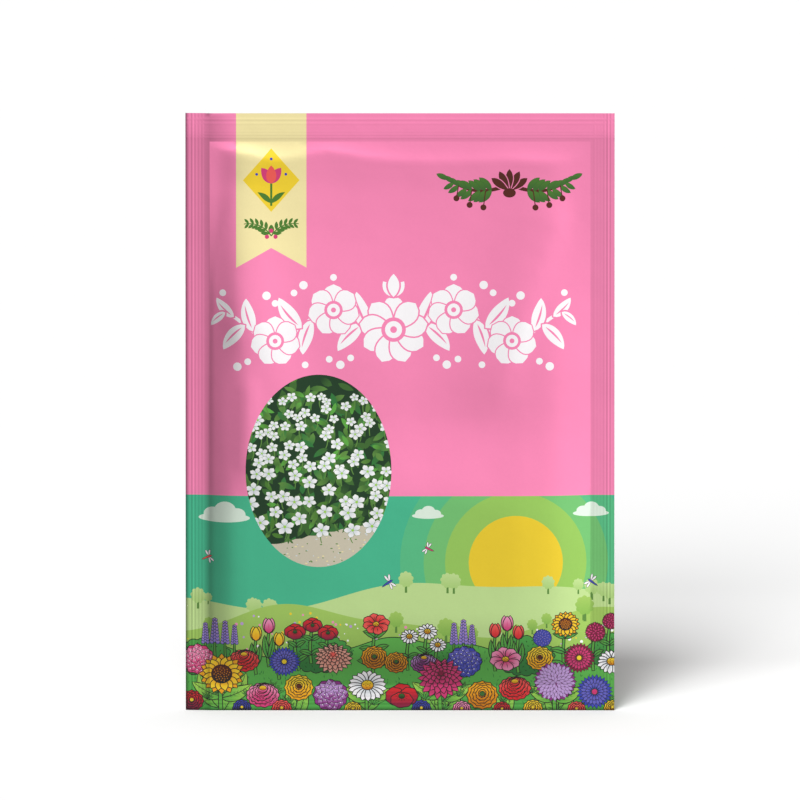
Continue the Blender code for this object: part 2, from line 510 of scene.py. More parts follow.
def leafy_stem(art, x, z, height, lean, pairs, size, ink="leaf", deep="grass"):
    """A stalk under (x, z) with pairs of leaves that shorten upwards."""
    foot = (x - lean, z - height)
    stem(art, foot, (x, z), 0.4)
    for k in range(pairs):
        share = (k + 0.6) / (pairs + 0.6)
        at = np.array(foot) * (1 - share) + np.array((x, z)) * share
        long = size * (1 - 0.35 * share)
        for side in (-1, 1):
            turn = 90 - side * art.rng.uniform(35, 62)
            leaf(art, *at, long, long * 0.36, turn, side * -38, ink, deep)


def heart(art, x, z, a, b, ink="gold", deep="amber", grains=9):
    """A flower's middle with its grains."""
    art.inked(placed(oval(a, b), x, z), ink, deep)
    radius, turn = spiral(grains)
    turn = np.radians(turn)
    art.dots(x + 0.8 * a * radius * np.cos(turn), z + 0.8 * b * radius * np.sin(turn), 0.12, "bark")


def daisy(art, x, z, r, ink="white", deep="pearl", count=17, squash=0.82):
    """A daisy: one ring of narrow blunt petals round a gold middle."""
    art.petals(x, z, count, r, 0.30 * r, ink, deep, squash, 7, 0.12 * r, belly=0.62, blunt=0.6)
    heart(art, x, z + 0.04 * r, 0.30 * r, 0.24 * r)


def sunflower(art, x, z, r, squash=0.9):
    """A sunflower: two rings of petals, and seeds on a golden spiral."""
    art.petals(x, z, 16, r, 0.34 * r, "orange", "amber", squash, 0, 0.3 * r, belly=0.5)
    art.petals(x, z, 16, 0.86 * r, 0.32 * r, "gold", "orange", squash, 11, 0.3 * r, belly=0.5)
    art.inked(placed(oval(0.44 * r, 0.40 * r), x, z), "bark", "line")
    radius, turn = spiral(34)
    turn = np.radians(turn)
    spots = x + 0.38 * r * radius * np.cos(turn), z + 0.34 * r * radius * np.sin(turn)
    art.dots(*spots, 0.15, "amber")


def dahlia(art, x, z, r, ink, deep, squash=0.82):
    """A dahlia: five rings, each smaller, higher and of fewer petals than the last."""
    for ring, count in enumerate((18, 16, 13, 10, 7)):
        reach = r * (1 - 0.18 * ring)
        art.petals(x, z + 0.05 * r * ring, count, reach, 5.2 * reach / count, ink, deep, squash,
                   9.0 * ring, 0.1 * r, belly=0.60, blunt=0.85, points=7)
    art.dots([x], [z + 0.22 * r], 0.10 * r, deep)


def zinnia(art, x, z, a, ink, deep, middle="gold"):
    """A zinnia seen aslant: ruffled ovals, each smaller and higher, with pen strokes."""
    b = 0.74 * a
    for k in range(5):
        share = 1 - 0.17 * k
        at = z + 0.13 * b * k
        ring = placed(ruffle(a * share, b * share, 13 - k, 0.045), x, at, 9 * k)
        art.inked(ring, ink, deep)
        around = np.radians(np.arange(200, 341, 20) + 6 * k)
        spots = x + 0.90 * a * share * np.cos(around), at + 0.86 * b * share * np.sin(around)
        art.strokes(*spots, 0.75, 0.20, np.degrees(around) + 90)
    art.inked(placed(oval(0.22 * a, 0.13 * a), x, z + 0.62 * b), middle, "amber", width=0.14)


def marigold(art, x, z, r, ink="orange", deep="amber", middle="moss"):
    """A marigold: ruffled discs, each smaller than the last, with pen strokes."""
    rings = 5 if r > 2.5 else 4
    for k in range(rings):
        share = 1 - 0.95 * k / rings
        ring = ruffle(r * share, r * share * 0.9, 12 - k, 0.06, 3)
        art.inked(placed(ring, x, z + 0.03 * r * k, 17 * k), ink, deep)
        around = np.radians(np.arange(0, 360, 60) + 21 * k)
        spots = x + 0.86 * r * share * np.cos(around), z + 0.77 * r * share * np.sin(around)
        art.strokes(*spots, 0.5, 0.17, np.degrees(around) + 70)
    art.inked(placed(oval(0.16 * r), x, z + 0.1 * r), middle, width=0.14)


def pompon(art, x, z, r, ink, deep, ticks=90):
    """A pompon: a fringe, and short petals on a golden spiral laid from the rim inwards."""
    art.petals(x, z, 28, r, 0.28 * r, deep, None, 0.96, 0, 0.5 * r, pen=0.14, belly=0.5, points=5)
    art.lay(placed(oval(0.88 * r, 0.84 * r), x, z), deep)
    radius, turn = spiral(ticks)
    order = np.argsort(-radius)
    for share, at in zip(radius[order], turn[order]):
        away = 0.86 * r * share
        spot = placed(np.array([(away, 0.0)]), x, z, at, 0.95)[0]
        fleck = frond(0.30 * r, 0.15 * r, belly=0.6, points=4) - (0.15 * r, 0)
        art.inked(placed(fleck, *spot, at), ink, width=0.07)


def aster(art, x, z, r, ink, deep, middle="rose"):
    """An aster: three rings of narrow petals round a small middle."""
    for count, reach, width, colour, turn in (
        (26, 1.0, 0.2, deep, 0), (22, 0.8, 0.18, ink, 7), (15, 0.52, 0.17, ink, 3)
    ):
        art.petals(x, z, count, reach * r, width * r, colour, deep, 0.95, turn, 0.25 * reach * r,
                   pen=0.12, belly=0.7, points=5)
    art.inked(placed(oval(0.15 * r), x, z), middle, width=0.12)


def cosmos(art, x, z, r, ink="blush", deep="rose", squash=0.78):
    """A cosmos: eight broad blunt petals with veins round a small middle."""
    art.petals(x, z, 8, r, 0.66 * r, ink, deep, squash, 12, 0.08 * r, vein=True, belly=0.66, blunt=0.55)
    heart(art, x, z, 0.2 * r, 0.16 * r, grains=5)


def poppy(art, x, z, r, ink="red", deep="wine"):
    """A poppy: four ruffled petals, the near one last, round a dark middle with stamens."""
    for dx, dz, a, b in (
        (0, 0.32, 0.72, 0.56), (-0.48, 0.05, 0.6, 0.58), (0.48, 0.05, 0.6, 0.58), (0, -0.22, 0.74, 0.5),
    ):
        art.inked(placed(ruffle(a * r, b * r, 7, 0.05), x + dx * r, z + dz * r), ink, deep)
    art.inked(placed(oval(0.2 * r, 0.16 * r), x, z + 0.05 * r), "moss", "night", width=0.14)
    around = np.radians(np.arange(0, 360, 30))
    spots = x + 0.34 * r * np.cos(around), z + 0.05 * r + 0.28 * r * np.sin(around)
    art.strokes(*spots, 0.22 * r, 0.12, np.degrees(around))


def tulip(art, x, z, h, ink, deep):
    """A tulip: two petals that lean apart behind a middle one."""
    for turn, bend in ((112, -22), (68, 22)):
        art.inked(placed(frond(h, 0.46 * h, bend, 0.42, 0.7), x, z, turn), ink, deep, True)
    art.inked(placed(frond(0.94 * h, 0.52 * h, 0, 0.40, 0.7), x, z, 90), ink, deep, True)
    art.strokes([x], [z + 0.45 * h], 0.5 * h, 0.13, 90, deep)


def lavender(art, x, z, h, ink="lilac", deep="violet"):
    """A spike of lavender: rows of three buds that shrink upwards."""
    stem(art, (x + 0.1 * h, z - h), (x, z), 0.3, 0.3)
    for k in range(8):
        at = z - 0.1 + k * 0.085 * h
        size = 0.085 * h * (1 - 0.07 * k)
        for side in (-1, 0, 1):
            up = at + (side == 0) * size * 0.5
            bud = placed(oval(size * 0.62, size * 0.75, 8), x + side * size * 0.95, up)
            art.inked(bud, ink, deep, width=0.11)


def hydrangea(art, x, z, r, ink, deep):
    """A hydrangea: small flowers on a golden spiral, laid from the rim inwards."""
    art.inked(placed(ruffle(r, 0.9 * r, 12, 0.05), x, z), deep)
    radius, turn = spiral(34)
    order = np.argsort(-radius)
    for share, at in zip(radius[order], turn[order]):
        spot = placed(np.array([(0.84 * r * share, 0.0)]), x, z, at, 0.9)[0]
        art.inked(placed(ruffle(0.2 * r, 0.2 * r, 4, 0.28, 3), *spot, at), ink, deep, width=0.10)
        art.dots(spot[:1], spot[1:], 0.13, "white")


def tuft(art, x, z, h, blades=6, ink="leaf", deep="grass"):
    """A tuft of grass."""
    for turn in np.linspace(140, 40, blades) + art.rng.uniform(-7, 7, blades):
        long = h * art.rng.uniform(0.7, 1.1)
        blade = frond(long, 0.13 * h, (turn - 90) * 0.5, 0.25, 0.8, 5)
        art.inked(placed(blade, x, z, turn), ink, deep, True, width=0.12)


def bush(art, x, z, a, b, ink="grass", deep="shade", ticks=40):
    """A low rounded bush, with pen strokes for its leaves."""
    art.inked(placed(scallop(a, b, max(9, int(a * 2.6)), 0.05), x, z), ink, deep)
    radius, turn = spiral(ticks)
    turn = np.radians(turn)
    spots = x + 0.9 * a * radius * np.cos(turn), z + 0.88 * b * radius * np.sin(turn)
    art.strokes(*spots, 0.65, 0.2, art.rng.uniform(20, 160, ticks), "night")


def round_tree(art, x, z, r, ink, deep):
    """A far-off round-headed tree."""
    art.lay(ribbon(bow((x, z - 1.9 * r), (x, z), 0, 2), 0.34 * r, 0.26 * r), "fern")
    art.lay(placed(scallop(r, 1.08 * r, 9, 0.09), x, z, 12), ink, deep)


def dragonfly(art, x, z, size, turn, ink, wing="white"):
    """A dragonfly: four wings and a tapered body."""
    for side in (-1, 1):
        for lean in (62, 98):
            one = frond(0.62 * size, 0.15 * size, 0, 0.65, 0.7)
            art.inked(placed(one, x, z, turn + side * lean), wing, width=0.09)
    body = frond(size, 0.13 * size, 8, 0.3, 0.6) - (0.3 * size, 0)
    art.inked(placed(body, x, z, turn + 180), ink, width=0.10)


# ---------------------------------------------------------------- the artwork


def folk_flower(art, x, z, r, count=6, ink="white", middle="pink"):
    """A bold flat flower: petals with gaps between them, a ring and a spot."""
    art.lay(placed(oval(0.62 * r), x, z), ink)
    for turn in 90 + np.arange(count) * 360 / count:
        petal = placed(frond(r, 5.6 * r / count, 0, 0.62, 0.6, 10), x, z, turn)
        art.lay(grown(wound_left(petal), 0.045 * r), middle)
        art.lay(petal, ink)
    art.lay(placed(oval(0.36 * r), x, z), middle)
    art.lay(placed(oval(0.25 * r), x, z), ink)
    art.lay(placed(oval(0.10 * r), x, z), middle)


def garland(art, middle_x, middle_z, half):
    """A broad white garland, the same on both sides of its middle flower.

    Its vine is a cosine wave of the length and rise given below, with leaves, flowers and berries.
    """
    length, rise = 27.5, 3.4
    turns = 2 * np.pi / length
    x = np.linspace(-half, half, 97)
    vine = np.stack([middle_x + x, middle_z - rise * np.cos(x * turns)], axis=1)
    art.lay(ribbon(vine, 0.6, 1.5, 1.7, 1.5, 0.6), "white")
    for side in (-1, 1):
        for at, up, turn, size in (
            (7.2, -1, 34, 8.6), (5.6, 1, 58, 9.4), (19.0, -1, 62, 8.4), (21.4, 1, 40, 9.0),
            (32.6, 1, 64, 8.0), (34.6, -1, 36, 7.8), (37.2, 1, 34, 6.0), (39.2, -1, 30, 4.6),
        ):
            foot = middle_x + side * at, middle_z - rise * math.cos(at * turns)
            along = up * turn if side > 0 else 180 - up * turn
            blade = placed(frond(size, 0.40 * size, side * up * 26, 0.45, 0.75, 12), *foot, along)
            art.lay(grown(wound_left(blade), 0.4), "pink")
            art.lay(blade, "white")
            rib = frond(size * 0.7, 0.06 * size, side * up * 18, 0.45, 0.8, 8) + (0.12 * size, 0)
            art.lay(placed(rib, *foot, along), "pink")
        folk_flower(art, middle_x + side * 14.0, middle_z + 3.6, 6.0, 7)
        folk_flower(art, middle_x + side * 27.6, middle_z - 3.6, 5.8, 7)
        for at, lift, r in (
            (10.0, -7.6, 0.8), (12.4, -9.2, 1.0), (15.0, -7.9, 0.8), (14.0, 11.2, 0.8),
            (21.0, 9.4, 1.0), (23.2, 7.6, 0.8), (27.6, 5.2, 0.8), (29.6, 7.0, 1.0),
            (20.6, -9.2, 0.8), (34.0, -8.4, 0.8), (36.4, -9.6, 1.0), (39.8, 7.6, 0.8),
        ):
            art.lay(placed(oval(r), middle_x + side * at, middle_z + lift), "white")
    folk_flower(art, middle_x, middle_z - 1.0, 8.0, 9)
    for turn, size in ((56, 4.4), (124, 4.4), (90, 5.4)):
        bud = placed(frond(size, 0.5 * size, 0, 0.5, 0.8, 10), middle_x, middle_z + 6.6, turn)
        art.lay(grown(wound_left(bud), 0.4), "pink")
        art.lay(bud, "white")


def pennant(art, x, low, half):
    """A swallow-tailed cream pennant hung from the top edge.

    It holds a tulip on a gold lozenge, and two leafy sprays that part from three berries.
    """
    left, right = x - half, x + half
    tails = [(left, 160), (left, low), (x, low + 4.6), (right, low), (right, 160)]
    art.lay(tails, "cream")
    middle, wide, high = low + 20.4, 6.6, 7.4
    lozenge = [(x - wide, middle), (x, middle - high), (x + wide, middle), (x, middle + high)]
    art.lay(lozenge, "gold")
    art.lay(ribbon(bow((x, middle - 6), (x, middle), 0), 0.5, 0.5), "sprig")
    for side in (-1, 1):
        blade = frond(4.2, 1.3, -side * 26, 0.45)
        art.lay(placed(blade, x, middle - 5.4, 90 - side * 38), "sprig")
        petal = frond(4.4, 2.3, side * 16, 0.45, 0.75)
        art.lay(placed(petal, x, middle - 0.8, 90 + side * 24), "rose")
    art.lay(placed(frond(4.3, 2.4, 0, 0.42, 0.75), x, middle - 0.8, 90), "coral")
    art.dots([x, x - 3.4, x + 3.4], [middle + 5.0, middle + 1.4, middle + 1.4], 0.34, "indigo")
    for side in (-1, 1):
        path = bow((x, low + 7.4), (x + side * 6.4, low + 10.2), side * 1.1, 14)
        art.lay(ribbon(path, 0.3, 0.2), "sprig")
        for k in (1, 3, 5, 7, 9, 11):
            size = 2.2 - 0.06 * k
            heading = math.degrees(math.atan2(*(path[k + 1] - path[k - 1])[::-1]))
            for lean in (-46, 46):
                blade = frond(size, 0.42 * size, 0, 0.5, 0.8)
                art.lay(placed(blade, *path[k], heading + lean), "sprig")
    art.dots([x, x - 1.0, x + 1.0], [low + 8.6, low + 7.2, low + 7.2], 0.52, "rose")


def twig(art, x, z, half):
    """A small ornament: two green sprays on brown twigs that part from a brown seed head."""
    for side in (-1, 1):
        path = bow((x + side * 2.2, z - 0.4), (x + side * half, z + 1.6), -side * 1.6, 20)
        art.lay(ribbon(path, 0.9, 0.7, 0.35), "bark")
        for share in np.linspace(0.16, 0.94, 7):
            at = path[int(share * 19)]
            size = 4.3 - 1.7 * share
            for up in (-1, 1):
                lean = up * (58 - 16 * share)
                turn = lean if side > 0 else 180 - lean
                blade = placed(frond(size, 0.36 * size, -side * up * 20, 0.48, 0.8, 9), *at, turn)
                art.inked(blade, "sprig", "moss", line="moss", width=0.1)
        tip = placed(frond(3.0, 1.1, 0, 0.5, 0.8, 9), *path[-1], 24 if side > 0 else 156)
        art.inked(tip, "sprig", "moss", line="moss", width=0.1)
        for share, drop in ((0.3, -3.9), (0.55, -3.5), (0.8, -3.0)):
            at = path[int(share * 19)]
            art.lay(ribbon(bow(at, at + (side * 0.5, drop), 0, 2), 0.24, 0.24), "bark")
            art.lay(placed(oval(0.72), at[0] + side * 0.5, at[1] + drop), "bark")
    for turn in (36, 63, 90, 117, 144):
        grain = frond(5.2, 1.7, 0, 0.6, 0.75, 9)
        art.inked(placed(grain, x, z - 1.2, turn), "bark", line="pink", width=0.2)
    art.lay(placed(oval(1.5, 1.1), x, z - 1.6), "bark")


def blossom(art, x, z, r, turn):
    """A white five-petalled blossom with a pale throat."""
    for at in turn + np.arange(5) * 72:
        petal = placed(frond(r, 0.66 * r, 0, 0.62, 0.7, 5), x, z, at, 0.86)
        art.lay(grown(wound_left(petal), 0.07), "fern")
        art.lay(petal, "white", "pearl", True)
    art.dots([x], [z], 0.16 * r, "lime")


def picture(art, x, z, a, b):
    """An upright oval picture: a bank of white blossom over dark leaves, and a stony edge.

    The edge and the blades that hang over it slope by BANK up to the right. Blossoms are drawn
    at random but kept apart, and laid from the highest down, the lower the larger.
    """
    rng = art.rng
    left, right, foot = x - a - 2, x + a + 2, z - b - 2
    art.lay(box(left, foot, right, z + b + 2), "night")
    for count, size, inks in (
        (110, 5.2, ("night", "moss")),
        (170, 4.1, ("moss", "fern", "shade")),
        (100, 3.1, ("fern", "sprig", "leaf")),
    ):
        across, up = rng.uniform(-a, a, count), rng.uniform(-b, b, count)
        for px, pz, turn in zip(across, up, rng.uniform(0, 360, count)):
            length = size * rng.uniform(0.6, 1.1)
            blade = frond(length, size * 0.34, rng.uniform(-40, 40), 0.45, 0.8, 6)
            tip, root = inks[rng.integers(len(inks))], inks[rng.integers(len(inks))]
            art.lay(placed(blade, x + px, z + pz, turn), tip, root, True)
    edge = x + np.linspace(-a - 2, a + 2, 26)
    kerb = z - 0.66 * b + BANK * (edge - x) + rng.uniform(-0.3, 0.3, 26)
    stony = [np.stack([edge, kerb], axis=1), [(right, foot), (left, foot)]]
    art.lay(np.concatenate(stony), "stone")
    for px, pz in zip(rng.uniform(-a, a, 150), rng.uniform(-b, -0.5 * b, 150)):
        if pz < -0.70 * b + BANK * px:
            pebble = placed(oval(rng.uniform(0.12, 0.34), 0.14, 6), x + px, z + pz)
            art.lay(pebble, ("cream", "fern", "pearl")[rng.integers(3)])
    for _ in range(40):
        px, pz = rng.uniform(-a, a), rng.uniform(-0.74, -0.42) * b
        blade = frond(rng.uniform(2.0, 3.8), 0.5, rng.uniform(-40, 40), 0.4, 0.8, 6)
        blade = placed(blade, x + px, z + pz + BANK * px, rng.uniform(40, 140))
        art.lay(blade, "fern", "moss", True)
    spots = []
    while len(spots) < 84:
        px, pz = rng.uniform(-a, a), rng.uniform(-0.62, 0.80) * b
        crowd = 1.5 if pz > 0.05 * b else 2.5
        alone = all((px - qx) ** 2 + (pz - qz) ** 2 > crowd**2 for qx, qz in spots)
        if alone or rng.random() < 0.02:
            spots.append((px, pz))
    for px, pz in sorted(spots, key=lambda spot: -spot[1]):
        size = 1.25 + 0.9 * (0.8 * b - pz) / (1.4 * b)
        stalk = bow((x + px, z + pz - 3), (x + px, z + pz), rng.uniform(-0.6, 0.6))
        art.lay(ribbon(stalk, 0.2, 0.3), "fern")
        blossom(art, x + px, z + pz, size * rng.uniform(0.85, 1.1), rng.uniform(0, 72))


def crest(low, high, waves, step=0.8):
    """The top of a hill: a sum of slow sine waves, brought between low and high."""
    x = np.arange(-GROUND_SIDE, GROUND_SIDE + step, step)
    z = sum(np.sin(x / length + start) * share for length, start, share in waves)
    spread = sum(share for _, _, share in waves)
    return x, low + (high - low) * (0.5 + 0.5 * z / spread)


def hill(art, x, z, ink, deep=None):
    """Ground from a crest line down past the packet's foot."""
    foot = [(x[-1], GROUND_FOOT), (x[0], GROUND_FOOT)]
    art.lay(np.concatenate([np.stack([x, z], axis=1), foot]), ink, deep)


def cloud(art, x, z, size):
    """A small white cloud with a flat foot."""
    for dx, dz, a, b in ((0, 0, 6, 1.1), (-2.6, 0.9, 2.2, 1.6), (0.2, 1.6, 2.6, 2.2), (3, 0.8, 2, 1.5)):
        art.lay(placed(oval(a * size, b * size), x + dx * size, z + dz * size), "cloud")


def sky(art, sun_x, sun_z):
    """A low sun in fading rings, and clouds."""
    for r, ink in ((27.0, "halo_far"), (21.5, "halo_mid"), (16.5, "halo_near"), (11.0, "sun")):
        art.lay(placed(oval(r), sun_x, sun_z), ink)
    for x, z, size in ((-41, 45.4, 1.0), (6.5, 46.0, 0.62), (44.5, 46.4, 0.7)):
        cloud(art, x, z, size)


def hills(art):
    """Three rows of ground: two with far-off trees, and the meadow with its grass strokes."""
    rng = art.rng
    x, z = crest(23.5, 31.5, ((17, 0.6, 1.0), (7.3, 2.0, 0.35)))
    hill(art, x, z, "far_hill")
    for _ in range(15):
        at = rng.uniform(-50, 50)
        size = rng.uniform(0.9, 1.7)
        round_tree(art, at, np.interp(at, x, z) + 0.9, size, "far_hill", "far_tree")
    x, z = crest(17.0, 25.5, ((12.5, 3.4, 1.0), (5.6, 0.4, 0.3)))
    hill(art, x, z, "mid_hill", "mid_tree")
    for _ in range(13):
        at = rng.uniform(-50, 50)
        size = rng.uniform(1.1, 2.1)
        round_tree(art, at, np.interp(at, x, z) + 0.8, size, "mid_hill", "mid_tree")
    for ink in ("white", "blush", "gold", "white", "lilac"):
        at = rng.uniform(-50, 50, 22)
        up = np.interp(at, x, z) - rng.uniform(0.8, 9.5, 22)
        art.dots(at, up, rng.uniform(0.16, 0.4, 22), ink)
    x, z = crest(12.5, 17.5, ((9.5, 1.4, 1.0), (3.2, 2.4, 0.35)))
    hill(art, x, z + 0.22, "night")
    hill(art, x, z, "meadow", "grass")
    spots = rng.uniform(-50, 50, 420), rng.uniform(0.5, 15.5, 420)
    art.strokes(*spots, rng.uniform(0.5, 1.3, 420), 0.2, rng.uniform(55, 125, 420), "shade")


def far_flowers(art):
    """Bushes, and tall flowers that stand out above the ones before them."""
    rng = art.rng
    for x, z, a, b in (
        (-46, 12.5, 6.5, 4.2), (-19, 13.5, 7.5, 4.4), (12, 12.0, 6.0, 4.0),
        (29, 13.0, 6.8, 4.6), (49, 14, 5, 4),
    ):
        bush(art, x, z, a, b, "grass", "shade", 60)
    for x, h in (
        (-45.4, 7.0), (-43.2, 8.6), (-40.8, 7.8), (-38.6, 6.6), (12.6, 7.4), (14.8, 8.4), (16.8, 6.8),
    ):
        lavender(art, x, 15.5 + 0.1 * h, h)
    for x, z, r in ((-24.5, 18.6, 2.2), (-20.4, 20.2, 2.0), (-16.8, 18.4, 2.1)):
        leafy_stem(art, x, z, 9, rng.uniform(-1, 1), 2, 3.2)
        poppy(art, x, z, r)
    leafy_stem(art, -5.6, 20.6, 12, 0.6, 3, 4.4)
    cosmos(art, -5.6, 20.6, 3.2, "coral", "red")
    for x, z, r in ((2.2, 17.6, 2.1), (6.4, 18.8, 2.3), (8.8, 15.6, 2.0)):
        leafy_stem(art, x, z, 8, 0.4, 1, 3.0)
        daisy(art, x, z, r, count=13)
    for x, z, h, ink, deep in (
        (-33.6, 16.6, 3.4, "gold", "orange"), (-30.6, 18.4, 3.6, "blush", "rose"),
        (-28.2, 15.4, 3.2, "gold", "orange"), (22.2, 17.4, 3.4, "coral", "red"),
        (25.0, 19.0, 3.6, "blush", "rose"), (27.6, 17.0, 3.3, "coral", "red"),
    ):
        stem(art, (x, z - 8), (x, z + 0.4), 0.3)
        leaf(art, x, z - 6, 5.6, 1.3, 112, -24, "leaf", "grass")
        leaf(art, x, z - 6, 5.2, 1.2, 68, 24, "leaf", "grass")
        tulip(art, x, z, h, ink, deep)
    leafy_stem(art, 38.6, 20.4, 12, 0.2, 3, 4.2)
    sunflower(art, 38.6, 20.4, 3.3)
    for x, z, r, ink, deep in (
        (45.6, 18.4, 2.4, "rose", "wine"), (33.2, 17.2, 2.2, "violet", "indigo"),
        (49.2, 21.0, 2.0, "rose", "wine"),
    ):
        leafy_stem(art, x, z, 9, 0.5, 1, 3.0)
        pompon(art, x, z, r, ink, deep, 30)


def middle_flowers(art):
    """The middle row of large heads."""
    hydrangea(art, -47.2, 12.0, 3.7, "blush", "rose")
    zinnia(art, -36.4, 11.8, 3.4, "coral", "red")
    aster(art, -27.0, 11.6, 3.7, "violet", "indigo", "gold")
    dahlia(art, -15.6, 12.4, 4.4, "peach", "coral")
    marigold(art, -6.0, 12.6, 2.9)
    marigold(art, -0.9, 11.4, 2.6)
    zinnia(art, 5.6, 11.2, 3.0, "lilac", "plum")
    hydrangea(art, 15.0, 11.6, 3.9, "violet", "indigo")
    cosmos(art, 24.6, 12.2, 3.7)
    marigold(art, 32.6, 12.4, 3.0, "gold", "orange", "bark")
    aster(art, 41.8, 12.4, 3.7, "rose", "wine", "gold")
    daisy(art, 49.4, 11.4, 3.4)


def near_leaves(art):
    """Leaves in rosettes, as place, length, width, turn and bend, and tufts of grass."""
    rng = art.rng
    for x, z, long, wide, turn, bend in (
        (-41.5, 1.0, 9.6, 3.6, 148, -44), (-41.5, 1.0, 9.8, 3.6, 34, 40),
        (-41.5, 0.5, 8.2, 3.2, 104, 26), (-41.5, -1.0, 8.6, 3.3, 66, -22),
        (-8.0, 0.0, 7.6, 2.8, 140, -40), (-8.0, 0.0, 7.4, 2.8, 44, 38),
        (9.5, -0.8, 9.0, 3.3, 136, -36), (9.5, -0.8, 9.4, 3.4, 42, 38),
        (9.5, -1.4, 7.8, 3.0, 84, 12), (36.0, -1.0, 9.0, 3.3, 138, -42),
        (36.0, -1.0, 9.0, 3.2, 40, 42), (36.0, -1.8, 8.0, 3.0, 96, 18),
        (-41.6, 3.4, 7.6, 3.0, 170, -30), (-41.6, 3.0, 7.8, 3.0, 8, 32),
        (-7.6, 2.4, 6.4, 2.5, 166, -28), (-7.6, 2.2, 6.4, 2.5, 14, 28),
        (9.6, 3.2, 7.6, 2.9, 168, -30), (9.6, 2.8, 7.8, 2.9, 10, 30),
        (36.2, 2.6, 7.4, 2.8, 168, -28), (36.2, 2.4, 7.4, 2.8, 12, 28),
        (24.0, -1.6, 6.6, 2.3, 124, -30), (24.0, -1.6, 6.6, 2.3, 58, 30),
        (-24.0, -1.4, 7.0, 2.5, 122, -30), (-24.0, -1.4, 7.0, 2.5, 60, 30),
    ):
        leaf(art, x, z, long, wide, turn, bend)
    for x in rng.uniform(-50, 50, 34):
        tuft(art, x, rng.uniform(-0.5, 6.5), rng.uniform(1.6, 3.0))


def near_flowers(art):
    """The front row of large heads, and small marigolds along the foot."""
    stem(art, (-41.6, -2), (-41.6, 8.4), 0.3, 0.8)
    sunflower(art, -41.6, 8.6, 5.2)
    zinnia(art, -32.0, 3.6, 3.7, "blush", "rose")
    marigold(art, -23.6, 5.4, 3.2, "gold", "orange", "bark")
    hydrangea(art, -16.2, 3.6, 3.9, "lilac", "plum")
    stem(art, (-7.6, -2), (-7.6, 5.4), 0.2, 0.6)
    daisy(art, -7.6, 5.8, 4.4, count=19)
    poppy(art, 0.4, 3.2, 3.4)
    stem(art, (9.6, -2), (9.6, 8.0), 0.3, 0.8)
    dahlia(art, 9.6, 7.6, 5.4, "rose", "wine", 0.9)
    marigold(art, 19.2, 3.6, 3.5)
    zinnia(art, 26.8, 5.2, 3.6, "coral", "red")
    stem(art, (36.2, -2), (36.2, 7.0), 0.2, 0.8)
    pompon(art, 36.2, 6.8, 4.9, "lilac", "plum", 86)
    aster(art, 45.4, 4.4, 4.2, "violet", "indigo")
    for x, z, r, ink, deep in (
        (-48.6, 2.2, 2.6, "red", "wine"), (-36.9, 0.6, 2.0, "indigo", "line"),
        (-27.6, 0.4, 2.2, "coral", "red"), (-11.0, 0.2, 1.9, "gold", "orange"),
        (5.0, 0.4, 2.1, "indigo", "line"), (14.4, 0.3, 2.0, "blush", "rose"),
        (23.8, 0.2, 1.9, "red", "wine"), (31.0, 0.5, 2.1, "gold", "orange"),
        (41.2, 0.2, 2.0, "coral", "red"), (49.6, 0.6, 1.9, "gold", "orange"),
    ):
        marigold(art, x, z, r, ink, deep, "gold")


def front_artwork():
    """The front: the oval picture, the two fields laid round it, the meadow and the ornaments."""
    art = Artwork(41)
    oval_x, oval_z, a, b = -19.0, 56.5, 17.0, 22.5
    picture(art, oval_x, oval_z, a, b)

    def field(start, end, count, side, edge, ink):
        """A field from the print line to its outer edge, cut out round the oval's own arc."""
        t = np.linspace(start, end, count)
        arc = np.stack([oval_x + a * np.cos(t), oval_z + b * np.sin(t)], axis=1)
        corners = [(side, PRINT_LINE), (side, edge), (-side, edge), (-side, PRINT_LINE)]
        art.lay(np.concatenate([arc, corners]), ink)

    cut = math.asin((PRINT_LINE - oval_z) / b)
    field(np.pi - cut, 2 * np.pi + cut, 40, PAST_SIDE, PAST_FOOT, "sky")
    sky(art, 27.0, 35.0)
    field(cut, np.pi - cut, 60, -PAST_SIDE, PAST_TOP, "pink")
    hills(art)
    far_flowers(art)
    middle_flowers(art)
    near_leaves(art)
    near_flowers(art)
    for x, z, size, turn, ink in (
        (-2.5, 30.5, 3.0, 30, "indigo"), (6.4, 38.4, 2.4, 150, "rose"),
        (-44.6, 36.2, 2.6, 20, "coral"), (44.5, 30.4, 2.8, 140, "indigo"),
    ):
        dragonfly(art, x, z, size, turn, ink)
    pennant(art, -30.0, 104.0, 8.2)
    twig(art, 25.5, 123.0, 14.2)
    garland(art, -1.5, 90.5, 41.0)
    return art


def rounded(left, low, right, high, r, points=9):
    """A rectangle with round corners."""
    share = np.linspace(0, np.pi / 2, points)
    corner = np.stack([np.cos(share), np.sin(share)], axis=1) * r
    return np.concatenate(
        [
            corner + (right - r, high - r),
            corner[::-1] * (-1, 1) + (left + r, high - r),
            corner * (-1, -1) + (left + r, low + r),
            corner[::-1] * (1, -1) + (right - r, low + r),
        ]
    )


